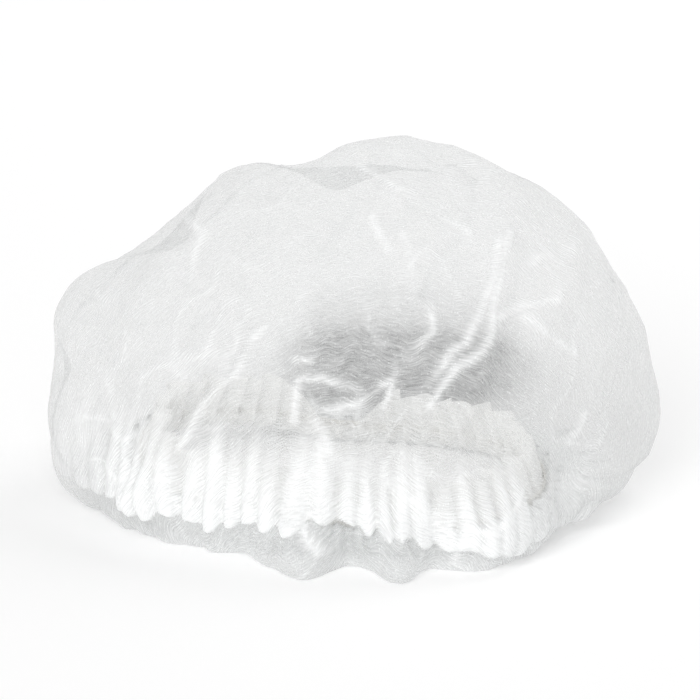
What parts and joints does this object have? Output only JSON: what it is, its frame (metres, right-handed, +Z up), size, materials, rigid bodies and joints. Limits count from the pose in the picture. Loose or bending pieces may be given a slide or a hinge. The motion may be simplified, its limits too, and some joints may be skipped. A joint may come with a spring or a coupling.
{
  "type": "disposable hair cover cap",
  "caption": "Puffed round hair cover of thin white non-woven cloth, gathered at the rim over a flat elastic, with a turned-up pleated hem.",
  "frame": {"origin": "on the surface the cap rests on, under the middle of its bounding box", "axes": "+Z up out of the resting surface towards the top of the crown, +Y to the back, +X to the right as the picture shows it, across the widest way"},
  "size_m": [0.2778, 0.2562, 0.167],
  "materials": {
    "crown_cloth": "translucent white spunbond non-woven",
    "hem_cloth": "translucent white spunbond non-woven, doubled",
    "elastic": "matt off-white covered elastic"
  },
  "bodies": {
    "root": {"crown": "crown_cloth", "hem_band": "hem_cloth", "elastic_band": "elastic"}
  },
  "joints": []
}
